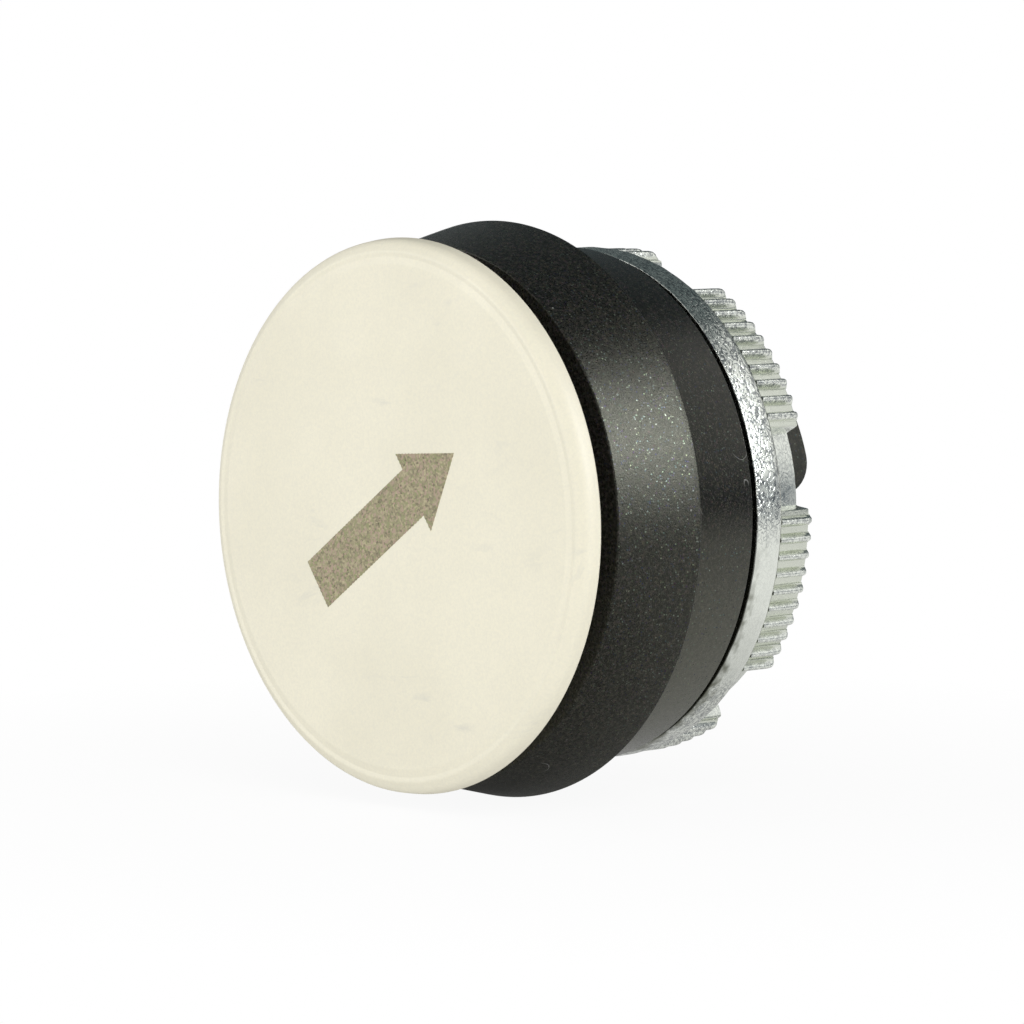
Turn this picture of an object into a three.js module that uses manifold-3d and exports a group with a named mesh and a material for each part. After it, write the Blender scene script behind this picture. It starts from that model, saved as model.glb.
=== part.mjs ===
// Panel-mount push-button head: a booted push cap with an arrow, seen as it comes out of its box.
// The button faces -Y, the panel plane is y = 0 and the axis of every turned piece is the Y axis.
// Lengths are millimetres. Stations along the axis are worked out from the pieces' own thicknesses.
import * as THREE from 'three';
import { mergeVertices } from 'three/addons/utils/BufferGeometryUtils.js';
import Module from 'manifold-3d';

const wasm = await Module();
wasm.setup();

// Facets round a turn: what shows, what lies inside, and small fasteners
const FACETS = { outside: 64, inside: 36, small: 16 };

// Driving dimensions
const panelHole = 11.25;    // radius of the hole in the panel
const clearance = 0.3;      // running and fitting clearance between neighbours
const travel = 3;           // full travel of the push cap
const overrun = 1;          // how far a cutter runs past the face that it opens
const weld = 0.0001;        // corners closer than this are one corner

const sleeve = { holePlay: 0.25, wall: 1.1, flangeReach: 1.6, flange: 1, length: 5, keywayWidth: 2.4,
  keywayDepth: 0.35, relief: 0.5 };
const thread = { pitch: 2, depth: 0.7, rootWidth: 1.2, crestWidth: 0.5, sunk: 0.15 };
const housing = { wall: 1.35, length: 4.6, floor: 1.3, edge: 0.15, rim: 0.7 };
const flangeSeal = { thickness: 0.5 };
const gasket = { thickness: 1, proud: 0.15 };
const guide = { tubeWall: 1.1, cupWall: 0.8, floor: 0.8, rimOverlap: 1, rimThickness: 0.8, pocketDepth: 5.6,
  tail: 0.6, sealSetback: 0.6, sealDepth: 0.9, sealWidth: 1.1 };
const guideSeal = { thickness: 0.8, squeeze: 0.15, sides: 8 };
const spring = { wire: 0.7, outerPlay: 1.05, curls: 6, stepsPerCurl: 8, sides: 5 };
const springSeat = { thickness: 0.5 };
const plunger = { discMargin: 0.8, discThickness: 1.2, stemRadius: 4.7, driverRoom: 0.5, headSeat: 4.6,
  tail: 1.5, grooveDepth: 0.9, grooveWidth: 0.8 };
const clip = { reach: 1.2, thickness: 0.5, mouth: 5 };
const clampWasher = { thickness: 0.5 };
const capScrew = { shank: 1.35, head: 2.6, headHeight: 1.8, socket: 1.3, socketDepth: 1.1, socketSides: 6,
  reach: 1.3 };
const carrier = { thickness: 1.5, step: 1.9, floor: 0.7 };
const boot = { room: 0.7, wall: 1.2, taper: 1.2, flange: 1, lip: 0.6, edgeRound: 0.25, beadDepth: 0.6,
  beadWall: 0.8, rearLand: 0.4 };
const cap = { overhang: 0.4, thickness: 1.3, rimWidth: 0.75, rimHeight: 0.35, crestWidth: 0.25,
  crestDrop: 0.08, bevelWidth: 0.4, grooveDepth: 0.18, bossRadius: 7, bossWall: 1.4 };
const arrow = { length: 13.45, headLength: 3.93, headWidth: 4.85, shaftWidth: 2.9, turn: 35.2, shift: -0.46,
  drop: -0.15, thickness: 0.3, clearance: 0.15 };
const keyWasher = { width: 1.6, thickness: 0.6 };
const nut = { frontInset: 0.2, flare: 0.15, flange: 1.8, hub: 2.8, step: 0.1, wall: 1.3, slots: 6,
  slotAngle: 18.7, slotPlace: 10.8, ridgeHeight: 0.48, ridges: 90, ridgePlace: -1.3 };
const coupling = { wall: 1, disc: 1, tongue: 2, tongues: 3, tongueSpan: 50, tonguePlace: 28, corner: 1.4 };
const screw = { shank: 0.75, head: 1.15, headHeight: 0.7, length: 3, play: 0.15, slotWidth: 0.4,
  slotDepth: 0.3 };

// Each ridge of the nut: [share of the ridge pitch from its middle, share of the ridge height]
const ridgeShares = [[-0.3, 0], [-0.15, 1], [0.15, 1], [0.3, 0]];
const roundSteps = 4;       // chords in a quarter round

// Sides of a thread's section, as shares of its width from its middle
const frontSideShare = -0.5;
const rearSideShare = 0.5;

// Radii, from the panel hole inwards
const threadCrest = panelHole - sleeve.holePlay;
const threadRoot = threadCrest - thread.depth;
const sleeveBore = threadRoot - sleeve.wall;
const tubeRadius = sleeveBore - clearance;
const pocketRadius = tubeRadius - guide.tubeWall;
const springRadius = pocketRadius - spring.outerPlay - spring.wire / 2;
const seatRadius = pocketRadius - clearance;
const stemHole = plunger.stemRadius + clearance;
const clipRadius = plunger.stemRadius + clip.reach;
const counterbore = capScrew.head + plunger.driverRoom;
const screwHole = capScrew.shank + clearance;

// Radii, from the panel hole outwards
const sleeveHole = threadCrest + clearance;
const sleeveFlange = threadCrest + sleeve.flangeReach;
const housingBore = sleeveFlange + clearance;
const housingRadius = housingBore + housing.wall;
const rimBore = housingRadius - housing.rim;
const beadRadius = housingBore - clearance;
const beadBore = beadRadius - boot.beadWall;
const cupOuter = beadBore - clearance;
const cupInner = cupOuter - guide.cupWall;
const clampRadius = cupInner - clearance;
const discRadius = clampRadius - plunger.discMargin;
const hubRadius = clampRadius - carrier.step;
const hubHole = hubRadius + clearance;
const guideRim = housingBore + guide.rimOverlap;
const bootRearRadius = guideRim + boot.room + boot.wall;
const bootFrontRadius = bootRearRadius - boot.taper;
const capRadius = bootFrontRadius + cap.overhang;
const washerRadius = sleeveHole + keyWasher.width;
const nutFrontRadius = housingRadius - nut.frontInset;
const nutRearRadius = nutFrontRadius + nut.flare;
const ridgeTip = nutRearRadius - nut.step;
const grooveCrest = threadCrest + clearance;
const couplingInner = threadRoot - coupling.wall;
const couplingHole = clipRadius + clearance;
const screwCircle = (couplingHole + couplingInner) / 2;

// Stations along the axis, from the panel forwards
const panelPlane = 0;
const gasketFront = panelPlane - gasket.thickness;
const housingFront = gasketFront - housing.length;
const housingRear = panelPlane - gasket.proud;
const floorFront = gasketFront - housing.floor;
const sleeveFlangeRear = floorFront - flangeSeal.thickness;
const sleeveFlangeFront = sleeveFlangeRear - sleeve.flange;
const guideFloorFront = sleeveFlangeFront - guide.floor;
const lipFront = housingFront - boot.lip;
const guideFront = lipFront - guide.rimThickness;
const clampedStack = boot.flange + clampWasher.thickness + plunger.discThickness;
const discRear = Math.min(guideFloorFront, guideFront + clampedStack) - clearance - travel;
const discFront = discRear - plunger.discThickness;
const clampFront = discFront - clampWasher.thickness;
const bootFront = clampFront - boot.flange;
const carrierFront = bootFront - carrier.thickness;
const capFace = carrierFront - cap.thickness;
const bossRear = discFront - carrier.floor - clearance;

// Stations along the axis, from the panel backwards
const pocketRear = guideFloorFront + guide.pocketDepth;
const sealFront = pocketRear + guide.sealSetback;
const sleeveRear = panelPlane + sleeve.length;
const guideRear = sleeveRear + guide.tail;
const couplingDiscRear = guideRear + coupling.disc;
const tongueRear = couplingDiscRear + coupling.tongue;
const clipFront = guideRear + clearance;
const stemRear = clipFront + plunger.tail;
const nutFront = panelPlane + clearance;
const nutFlangeRear = nutFront + nut.flange;
const nutRear = nutFlangeRear + nut.hub;
const threadFront = panelPlane - sleeve.relief;
const keywayFloor = threadRoot - sleeve.keywayDepth;

// A solid of a closed mesh: shared corners merged, flat slivers dropped, faces turned outwards
function solid(geometry) {
  geometry.deleteAttribute('normal');
  geometry.deleteAttribute('uv');
  const merged = mergeVertices(geometry, weld);
  const corners = merged.attributes.position.array;
  const kept = [];
  const index = merged.index.array;
  let volume = 0;
  for (let i = 0; i < index.length; i += 3) {
    const [a, b, c] = [index[i], index[i + 1], index[i + 2]];
    if (a === b || b === c || c === a) {
      continue;
    }
    kept.push(a, b, c);
    const [p, q, r] = [a, b, c].map((n) => new THREE.Vector3().fromArray(corners, 3 * n));
    volume += p.dot(q.cross(r));
  }
  if (volume < 0) {
    kept.reverse();
  }
  return new wasm.Manifold(new wasm.Mesh({
    numProp: 3, vertProperties: Float32Array.from(corners), triVerts: Uint32Array.from(kept),
  }));
}

function geometryOf(body) {
  const { vertProperties, triVerts } = body.getMesh();
  const geometry = new THREE.BufferGeometry();
  geometry.setAttribute('position', new THREE.BufferAttribute(Float32Array.from(vertProperties), 3));
  geometry.setIndex(new THREE.BufferAttribute(Uint32Array.from(triVerts), 1));
  geometry.computeVertexNormals();
  return geometry;
}

// A piece turned about the axis from a profile of [radius, station] points, closed on itself
function turned(profile, facets = FACETS.inside) {
  const points = [...profile, profile[0]].map(([radius, station]) => new THREE.Vector2(radius, station));
  return solid(new THREE.LatheGeometry(points, facets));
}

function ring(inner, outer, front, rear, facets = FACETS.inside) {
  return turned([[inner, front], [outer, front], [outer, rear], [inner, rear]], facets);
}

function disc(radius, front, rear, facets = FACETS.inside) {
  return turned([[0, front], [radius, front], [radius, rear], [0, rear]], facets);
}

// A prism from front to rear along the axis; its outline holds [x, z] points
function prism(outline, front, rear) {
  const shape = new THREE.Shape(outline.map(([x, z]) => new THREE.Vector2(x, -z)));
  const geometry = new THREE.ExtrudeGeometry(shape, { depth: rear - front, bevelEnabled: false });
  geometry.rotateX(-Math.PI / 2);
  geometry.translate(0, front, 0);
  return solid(geometry);
}

function polar(radius, degrees) {
  const angle = THREE.MathUtils.degToRad(degrees);
  return [radius * Math.cos(angle), radius * Math.sin(angle)];
}

function along(count, from, to) {
  return Array.from({ length: count + 1 }, (_, i) => from + (to - from) * i / count);
}

// Points of a quarter round between two points, bulging towards the corner point
function quarter(from, corner, to) {
  return along(roundSteps, 0, 1).map((t) => {
    const [s, c] = [Math.sin(t * Math.PI / 2), Math.cos(t * Math.PI / 2)];
    return [0, 1].map((k) => corner[k] + (from[k] - corner[k]) * (1 - s) + (to[k] - corner[k]) * (1 - c));
  });
}

// A right-handed helical rib of trapezoid section about the axis: base and crest are [radius, width]
function helix(base, crest, from, turns) {
  const steps = Math.floor(turns * FACETS.inside);
  return solid(sweep(along(steps, 0, steps).map((step) => {
    const angle = 2 * Math.PI * step / FACETS.inside;
    const middle = from + thread.pitch * step / FACETS.inside;
    const corner = ([radius, width], share) => (
      new THREE.Vector3(radius * Math.cos(angle), middle + width * share, -radius * Math.sin(angle)));
    return [corner(base, frontSideShare), corner(crest, frontSideShare), corner(crest, rearSideShare),
      corner(base, rearSideShare)];
  })));
}

// The skin over rings of corners: sides between each ring and the next, and a fan over each end
function sweep(rings) {
  const sides = rings[0].length;
  const last = (rings.length - 1) * sides;
  const faces = [];
  for (let start = 0; start < last; start += sides) {
    for (let k = 0; k < sides; k += 1) {
      const [a, b] = [start + k, start + (k + 1) % sides];
      faces.push(a, b, a + sides, b, b + sides, a + sides);
    }
  }
  for (let k = 1; k < sides - 1; k += 1) {
    faces.push(0, k + 1, k, last, last + k, last + k + 1);
  }
  const geometry = new THREE.BufferGeometry().setFromPoints(rings.flat());
  geometry.setIndex(faces);
  return geometry;
}

const finishes = {
  ivory: { color: 0xedead5, roughness: 0.45, metalness: 0 },
  legend: { color: 0xa0987e, roughness: 0.7, metalness: 0 },
  rubber: { color: 0x2b2b2c, roughness: 0.62, metalness: 0 },
  nylon: { color: 0x242425, roughness: 0.5, metalness: 0 },
  acetal: { color: 0xd9d8d2, roughness: 0.4, metalness: 0 },
  zinc: { color: 0xbfc2c0, roughness: 0.32, metalness: 1 },
  steel: { color: 0x9fa2a5, roughness: 0.3, metalness: 1 },
};

const head = new THREE.Group();

function add(name, finish, body) {
  const mesh = new THREE.Mesh(geometryOf(body), new THREE.MeshStandardMaterial(finishes[finish]));
  mesh.name = name;
  head.add(mesh);
}

// Outline of the arrow in the face, grown outwards by a margin
function arrowOutline(margin) {
  const tail = -arrow.length / 2 - margin;
  const neck = arrow.length / 2 - arrow.headLength - margin;
  const slope = Math.hypot(arrow.headLength, arrow.headWidth / 2) / (arrow.headWidth / 2);
  const tip = arrow.length / 2 + margin * slope;
  const shaft = arrow.shaftWidth / 2 + margin;
  const barb = (tip - neck) * arrow.headWidth / 2 / arrow.headLength;
  const outline = [
    [tail, -shaft], [neck, -shaft], [neck, -barb], [tip, 0], [neck, barb], [neck, shaft], [tail, shaft],
  ];
  const [cos, sin] = polar(1, arrow.turn);
  return outline.map(([x, z]) => [x * cos - z * sin + arrow.shift, x * sin + z * cos + arrow.drop]);
}

// Push cap: a shallow ivory moulding with a grooved edge and a ring boss that snaps into the carrier
function pushCap() {
  const crest = [capRadius - cap.rimWidth, capFace + cap.crestDrop];
  const grooveRadius = crest[0] - cap.crestWidth;
  const bossBore = cap.bossRadius - cap.bossWall;
  const body = turned([
    [0, capFace], [grooveRadius - cap.bevelWidth, capFace], [grooveRadius, capFace + cap.grooveDepth],
    ...quarter(crest, [capRadius, crest[1]], [capRadius, carrierFront - cap.rimHeight]),
    [capRadius, carrierFront], [cap.bossRadius, carrierFront], [cap.bossRadius, bossRear],
    [bossBore, bossRear], [bossBore, carrierFront], [0, carrierFront],
  ], FACETS.outside);
  return body.subtract(prism(arrowOutline(arrow.clearance), capFace - overrun, capFace + arrow.thickness));
}

// Carrier: the black plate behind the cap, whose hub goes through the boot to the plunger
function capCarrier() {
  const recessRear = bossRear + clearance;
  const recessInner = cap.bossRadius - cap.bossWall - clearance;
  const recessOuter = cap.bossRadius + clearance;
  const holeFront = discFront - capScrew.reach - clearance;
  return turned([
    [0, carrierFront], [recessInner, carrierFront], [recessInner, recessRear], [recessOuter, recessRear],
    [recessOuter, carrierFront], [clampRadius, carrierFront], [clampRadius, bootFront],
    [hubRadius, bootFront], [hubRadius, discFront], [screwHole, discFront], [screwHole, holeFront],
    [0, holeFront],
  ]);
}

// Boot: one rubber moulding with a front flange under the carrier, a flared wall and a clamped rear lip
function rubberBoot() {
  return turned([
    [hubHole, bootFront], [bootFrontRadius - boot.edgeRound, bootFront],
    [bootFrontRadius, bootFront + boot.edgeRound], [bootRearRadius, housingFront - boot.rearLand],
    [bootRearRadius, housingFront], [beadRadius, housingFront], [beadRadius, housingFront + boot.beadDepth],
    [beadBore, housingFront + boot.beadDepth], [beadBore, lipFront], [bootRearRadius - boot.wall, lipFront],
    [bootFrontRadius - boot.wall, clampFront], [hubHole, clampFront],
  ], FACETS.outside);
}

// Plunger: a disc that carries the cap and a hollow stem that works the contacts behind the panel
function pushPlunger() {
  const headSeat = discFront + plunger.headSeat;
  const grooveFloor = plunger.stemRadius - plunger.grooveDepth;
  const grooveRear = clipFront + plunger.grooveWidth;
  return turned([
    [screwHole, discFront], [discRadius, discFront], [discRadius, discRear], [plunger.stemRadius, discRear],
    [plunger.stemRadius, clipFront], [grooveFloor, clipFront], [grooveFloor, grooveRear],
    [plunger.stemRadius, grooveRear], [plunger.stemRadius, stemRear], [counterbore, stemRear],
    [counterbore, headSeat], [screwHole, headSeat],
  ]);
}

// Cap screw: a socket-head screw down the stem, which pulls the carrier, boot and plunger together
function longScrew() {
  const seat = discFront + plunger.headSeat;
  const front = discFront - capScrew.reach;
  const rear = seat + capScrew.headHeight;
  const body = turned([
    [0, front], [capScrew.shank, front], [capScrew.shank, seat], [capScrew.head, seat],
    [capScrew.head, rear], [0, rear],
  ], FACETS.small);
  const turns = along(capScrew.socketSides, 0, 360).slice(1);
  const corners = turns.map((degrees) => polar(capScrew.socket, degrees));
  return body.subtract(prism(corners, rear - capScrew.socketDepth, rear + overrun));
}

// Stop clip: a spring-steel clip, open on one side, that stops the plunger at rest
function stopClip() {
  const inner = plunger.stemRadius - plunger.grooveDepth + clearance;
  const front = clipFront + (plunger.grooveWidth - clip.thickness) / 2;
  const rear = front + clip.thickness;
  const half = clip.mouth / 2;
  const far = -clipRadius - overrun;
  const mouth = prism([[-half, 0], [half, 0], [half, far], [-half, far]], front - overrun, rear + overrun);
  return ring(inner, clipRadius, front, rear).subtract(mouth);
}

// Plunger guide: a black cup with a tube that the plunger runs in; its rim holds the boot's lip down
function plungerGuide() {
  const sealRear = sealFront + guide.sealWidth;
  const body = turned([
    [cupInner, guideFront], [guideRim, guideFront], [guideRim, lipFront], [cupOuter, lipFront],
    [cupOuter, sleeveFlangeFront], [tubeRadius, sleeveFlangeFront], [tubeRadius, sealFront],
    [tubeRadius - guide.sealDepth, sealFront], [tubeRadius - guide.sealDepth, sealRear],
    [tubeRadius, sealRear], [tubeRadius, guideRear], [stemHole, guideRear], [stemHole, pocketRear],
    [pocketRadius, pocketRear], [pocketRadius, guideFloorFront], [cupInner, guideFloorFront],
  ]);
  return drillScrewHoles(body, couplingDiscRear - screw.length - clearance, guideRear + overrun);
}

// The two screw holes that the guide and the coupling ring share
function drillScrewHoles(body, front, rear) {
  let drilled = body;
  for (const side of [-1, 1]) {
    const hole = disc(screw.shank + screw.play, front, rear, FACETS.small);
    drilled = drilled.subtract(hole.translate([side * screwCircle, 0, 0]));
  }
  return drilled;
}

// Return spring: round wire, one unbroken tube from the plunger's disc to the spring seat
function returnSpring() {
  const { curls, sides, stepsPerCurl } = spring;
  const steps = stepsPerCurl * curls;
  const front = discRear + spring.wire / 2 + clearance;
  const rear = pocketRear - springSeat.thickness - spring.wire / 2 - clearance;
  const pitch = (rear - front) / curls;
  const lean = Math.atan2(pitch, 2 * Math.PI * springRadius);
  const rings = along(steps, 0, 1).map((share) => {
    const angle = 2 * Math.PI * curls * share;
    return along(sides, 0, 360).slice(1).map((degrees) => {
      const [out, up] = polar(spring.wire / 2, degrees);
      const slip = -up * Math.sin(lean);
      return new THREE.Vector3(
        (springRadius + out) * Math.cos(angle) - slip * Math.sin(angle),
        front + (rear - front) * share + up * Math.cos(lean),
        (springRadius + out) * Math.sin(angle) + slip * Math.cos(angle),
      );
    });
  });
  let least = Infinity;
  for (let i = 0; i + stepsPerCurl <= steps; i += 1) {
    for (const here of rings[i]) {
      for (const there of rings[i + stepsPerCurl]) {
        least = Math.min(least, here.distanceTo(there));
      }
    }
  }
  console.log(`return_spring: least gap between curls ${least.toFixed(2)} mm`);
  return solid(sweep(rings));
}

// Seal ring in the guide's groove: a rubber ring of octagonal section
function sealRing() {
  const middle = sealFront + guide.sealWidth / 2;
  const radius = sleeveBore - guideSeal.squeeze - guideSeal.thickness / 2;
  const half = 180 / guideSeal.sides;
  return turned(along(guideSeal.sides - 1, half, 360 - half).map((degrees) => {
    const [out, up] = polar(guideSeal.thickness / 2, degrees);
    return [radius + out, middle + up];
  }));
}

// Housing: the black collar between the boot and the panel; its rear rim holds the panel gasket
function collarHousing() {
  return turned([
    [housingBore, housingFront], [housingRadius - housing.edge, housingFront],
    [housingRadius, housingFront + housing.edge], [housingRadius, housingRear], [rimBore, housingRear],
    [rimBore, gasketFront], [sleeveHole, gasketFront], [sleeveHole, floorFront], [housingBore, floorFront],
  ], FACETS.outside);
}

// A flat ring that lies against the station of its rear face
function flatWasher(inner, outer, rear, thickness) {
  return ring(inner, outer, rear - thickness, rear);
}

// Threaded sleeve: a zinc casting with a flange inside the housing, a coarse thread and a keyway on top
function threadedSleeve() {
  const body = turned([
    [sleeveBore, sleeveFlangeFront], [sleeveFlange, sleeveFlangeFront], [sleeveFlange, sleeveFlangeRear],
    [threadRoot, sleeveFlangeRear], [threadRoot, sleeveRear], [sleeveBore, sleeveRear],
  ]);
  const base = [threadRoot - thread.sunk, thread.rootWidth];
  const turns = (sleeveRear - threadFront - thread.rootWidth) / thread.pitch;
  const rib = helix(base, [threadCrest, thread.crestWidth], threadFront + thread.rootWidth / 2, turns);
  const half = sleeve.keywayWidth / 2;
  const far = threadCrest + overrun;
  const keyway = prism([[-half, keywayFloor], [half, keywayFloor], [half, far], [-half, far]],
    threadFront, sleeveRear + overrun);
  return body.add(rib).subtract(keyway);
}

// Key washer: flat steel, with a tab that slides in the keyway so that the nut can't turn the head
function lockWasher() {
  const rear = nutFront + keyWasher.thickness;
  const half = sleeve.keywayWidth / 2 - clearance;
  const near = keywayFloor + clearance;
  const far = (sleeveHole + washerRadius) / 2;
  const tab = prism([[-half, near], [half, near], [half, far], [-half, far]], nutFront, rear);
  return ring(sleeveHole, washerRadius, nutFront, rear).add(tab);
}

// Outline of the nut's hub: slots cut through a rim whose ridges run all the way round
function nutOutline() {
  const segment = 360 / nut.slots;
  const pitch = 360 / nut.ridges;
  const landRadius = ridgeTip - nut.ridgeHeight;
  const halfRidge = pitch * ridgeShares.at(-1)[0];
  const outline = [];
  for (let s = 0; s < nut.slots; s += 1) {
    const slotMiddle = nut.slotPlace + segment * s;
    const start = slotMiddle + nut.slotAngle / 2;
    const end = start + segment - nut.slotAngle;
    for (const degrees of along(roundSteps, slotMiddle - nut.slotAngle / 2, start)) {
      outline.push(polar(grooveCrest + nut.wall, degrees));
    }
    outline.push(polar(landRadius, start));
    const last = Math.floor((end - halfRidge - nut.ridgePlace) / pitch);
    for (let r = Math.ceil((start + halfRidge - nut.ridgePlace) / pitch); r <= last; r += 1) {
      for (const [pitchShare, heightShare] of ridgeShares) {
        const degrees = nut.ridgePlace + pitch * (r + pitchShare);
        outline.push(polar(landRadius + nut.ridgeHeight * heightShare, degrees));
      }
    }
    outline.push(polar(landRadius, end));
  }
  return outline;
}

// Ring nut: a zinc casting with a flange, ridged segments and open slots for a spanner
function ringNut() {
  const hub = prism(nutOutline(), nutFlangeRear - nut.flange / 2, nutRear);
  const flange = turned([[0, nutFront], [nutFrontRadius, nutFront], [nutRearRadius, nutFlangeRear],
    [0, nutFlangeRear]], FACETS.outside);
  const boreRadius = threadRoot + clearance;
  const bore = disc(boreRadius, nutFront - overrun, nutRear + overrun);
  const recessRear = nutFront + keyWasher.thickness + clearance;
  const recess = disc(washerRadius + clearance, nutFront - overrun, recessRear);
  const widening = (thread.rootWidth - thread.crestWidth) / (thread.depth + thread.sunk);
  const deep = [grooveCrest, thread.crestWidth + 2 * clearance];
  const shallow = [boreRadius - thread.sunk, deep[1] + widening * (grooveCrest - boreRadius + thread.sunk)];
  const spareTurns = 2;
  const groove = helix(shallow, deep, threadFront + thread.rootWidth / 2 - thread.pitch,
    Math.ceil((nutRear - nutFront) / thread.pitch) + spareTurns);
  return hub.add(flange).subtract(bore).subtract(recess).subtract(groove);
}

// Coupling ring: a black ring behind the sleeve; contact blocks hook on to its rounded tongues
function couplingRing() {
  const half = threadRoot * Math.sin(THREE.MathUtils.degToRad(coupling.tongueSpan / 2));
  const wall = ring(couplingInner, threadRoot, guideRear, tongueRear);
  const low = guideRear + coupling.disc / 2;
  const roundFront = tongueRear - coupling.corner;
  const flatHalf = half - coupling.corner;
  const shape = new THREE.Shape([
    [-half, low], [half, low],
    ...quarter([half, roundFront], [half, tongueRear], [flatHalf, tongueRear]),
    ...quarter([-flatHalf, tongueRear], [-half, tongueRear], [-half, roundFront]),
  ].map(([across, station]) => new THREE.Vector2(across, station)));
  let body = ring(couplingHole, threadRoot, guideRear, couplingDiscRear);
  for (let t = 0; t < coupling.tongues; t += 1) {
    const tongue = new THREE.ExtrudeGeometry(shape, { depth: threadRoot + overrun, bevelEnabled: false });
    tongue.rotateY(THREE.MathUtils.degToRad(90 - coupling.tonguePlace - 360 * t / coupling.tongues));
    body = body.add(wall.intersect(solid(tongue)));
  }
  return drillScrewHoles(body, guideRear - overrun, couplingDiscRear + overrun);
}

// A slotted pan-head screw that points forwards, its head resting on the coupling ring
function smallScrew() {
  const headRear = couplingDiscRear + screw.headHeight;
  const body = turned([
    [0, couplingDiscRear - screw.length], [screw.shank, couplingDiscRear - screw.length],
    [screw.shank, couplingDiscRear], [screw.head, couplingDiscRear], [screw.head, headRear], [0, headRear],
  ], FACETS.small);
  const half = screw.slotWidth / 2;
  const far = screw.head + overrun;
  return body.subtract(prism([[-far, -half], [far, -half], [far, half], [-far, half]],
    headRear - screw.slotDepth, headRear + overrun));
}

add('cap', 'ivory', pushCap());
add('arrow_legend', 'legend', prism(arrowOutline(0), capFace, capFace + arrow.thickness));
add('cap_carrier', 'nylon', capCarrier());
add('boot', 'rubber', rubberBoot());
add('clamp_washer', 'steel', flatWasher(hubHole, clampRadius, discFront, clampWasher.thickness));
add('plunger', 'acetal', pushPlunger());
add('cap_screw', 'steel', longScrew());
add('stop_clip', 'steel', stopClip());
add('plunger_guide', 'nylon', plungerGuide());
add('return_spring', 'steel', returnSpring());
add('spring_seat', 'steel', flatWasher(stemHole, seatRadius, pocketRear, springSeat.thickness));
add('guide_seal', 'rubber', sealRing());
add('housing', 'nylon', collarHousing());
add('flange_seal', 'rubber', flatWasher(sleeveHole, sleeveFlange, floorFront, flangeSeal.thickness));
add('threaded_sleeve', 'zinc', threadedSleeve());
add('panel_gasket', 'rubber', flatWasher(sleeveHole, rimBore - clearance, panelPlane, gasket.thickness));
add('key_washer', 'steel', lockWasher());
add('ring_nut', 'zinc', ringNut());
add('coupling_ring', 'nylon', couplingRing());
for (const [number, side] of [[1, -1], [2, 1]]) {
  add(`coupling_screw_${number}`, 'steel', smallScrew().translate([side * screwCircle, 0, 0]));
}

export default head;
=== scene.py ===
import math

import bmesh
import bpy
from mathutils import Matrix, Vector
from mathutils.geometry import tessellate_polygon


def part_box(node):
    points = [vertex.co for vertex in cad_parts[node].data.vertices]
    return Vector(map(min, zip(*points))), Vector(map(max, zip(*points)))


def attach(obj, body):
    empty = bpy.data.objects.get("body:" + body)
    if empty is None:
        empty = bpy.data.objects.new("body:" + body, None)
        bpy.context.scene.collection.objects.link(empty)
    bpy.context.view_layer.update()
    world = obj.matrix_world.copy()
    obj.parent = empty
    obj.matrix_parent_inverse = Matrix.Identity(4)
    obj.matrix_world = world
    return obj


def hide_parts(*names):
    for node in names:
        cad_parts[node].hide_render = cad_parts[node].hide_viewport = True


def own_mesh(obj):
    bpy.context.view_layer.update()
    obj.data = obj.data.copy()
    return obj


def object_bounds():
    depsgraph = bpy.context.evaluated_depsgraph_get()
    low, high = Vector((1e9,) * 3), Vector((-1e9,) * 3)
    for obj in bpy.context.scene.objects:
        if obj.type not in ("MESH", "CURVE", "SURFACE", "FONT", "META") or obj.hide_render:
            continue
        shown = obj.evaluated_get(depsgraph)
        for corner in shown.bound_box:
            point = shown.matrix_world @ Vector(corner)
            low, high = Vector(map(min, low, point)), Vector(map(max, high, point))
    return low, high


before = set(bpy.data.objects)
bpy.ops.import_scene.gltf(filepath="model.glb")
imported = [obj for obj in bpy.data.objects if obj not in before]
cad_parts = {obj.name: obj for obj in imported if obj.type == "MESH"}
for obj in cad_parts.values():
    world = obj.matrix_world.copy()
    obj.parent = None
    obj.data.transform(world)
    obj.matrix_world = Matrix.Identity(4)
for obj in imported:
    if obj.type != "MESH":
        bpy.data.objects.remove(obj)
cad_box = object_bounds()
MM = 0.001

# The view. The photograph was taken with a long lens from close to the level of the head's axis,
# well round to its right, so that the cap's face and the whole right side show.
aim = Vector((-2.191, -2.392, -0.454)) * MM
camera_azimuth = 46.843
camera_elevation = 4.725
camera_distance = 277.43 * MM
sensor_width = 36
lens = 175.78


def towards(azimuth, elevation):
    """The direction from the head to a place round it. Azimuth 0 is in front of the cap, 90 on its right."""
    across, up = math.radians(azimuth), math.radians(elevation)
    return Vector((math.sin(across) * math.cos(up), -math.cos(across) * math.cos(up), math.sin(up)))


def aimed(name, data, azimuth, elevation, distance):
    """An object that stands off from the head in a direction and looks back at it"""
    made = bpy.data.objects.new(name, data)
    away = towards(azimuth, elevation)
    made.location = aim + away * distance
    made.rotation_euler = away.to_track_quat("Z", "Y").to_euler()
    bpy.context.scene.collection.objects.link(made)
    return made


camera = bpy.data.cameras.new("camera")
camera.sensor_width = sensor_width
camera.lens = lens
camera.clip_start = camera_distance / 10
camera.clip_end = camera_distance * 100
bpy.context.scene.camera = aimed("camera", camera, camera_azimuth, camera_elevation, camera_distance)
bpy.context.scene.view_settings.view_transform = "Standard"


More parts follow.
